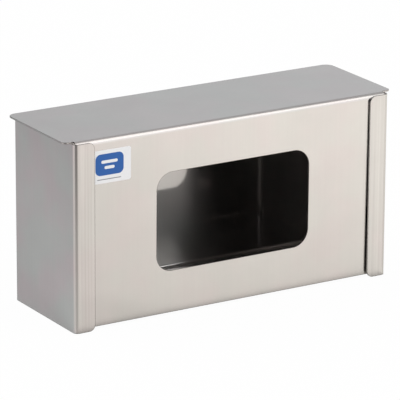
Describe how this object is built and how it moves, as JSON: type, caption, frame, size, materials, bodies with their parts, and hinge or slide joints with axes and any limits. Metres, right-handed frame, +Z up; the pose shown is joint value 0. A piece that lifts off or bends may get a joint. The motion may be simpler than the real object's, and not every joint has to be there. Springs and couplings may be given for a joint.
{
  "type": "disposable glove dispenser",
  "caption": "Folded stainless sheet box with an open top and a lift-off cover whose front panel has a rounded window for pulling gloves out.",
  "frame": {"origin": "centre of the whole part's base, level with the lower edges of the sides and flanges", "axes": "+X from left to right along the front, +Y from the front panel to the back, +Z up"},
  "size_m": [0.271, 0.088, 0.1382],
  "materials": {
    "stainless": "bright, fine grained",
    "label": "white film with a plain blue print"
  },
  "bodies": {
    "housing_body": {"housing": "stainless"},
    "cover_body": {"lift_off_cover": "stainless", "label": "label"}
  },
  "joints": [
    {"name": "cover_lift", "type": "slide", "parent": "housing_body", "child": "cover_body", "axis": [0, 0, 1], "range_m": [0, 0.145]}
  ]
}
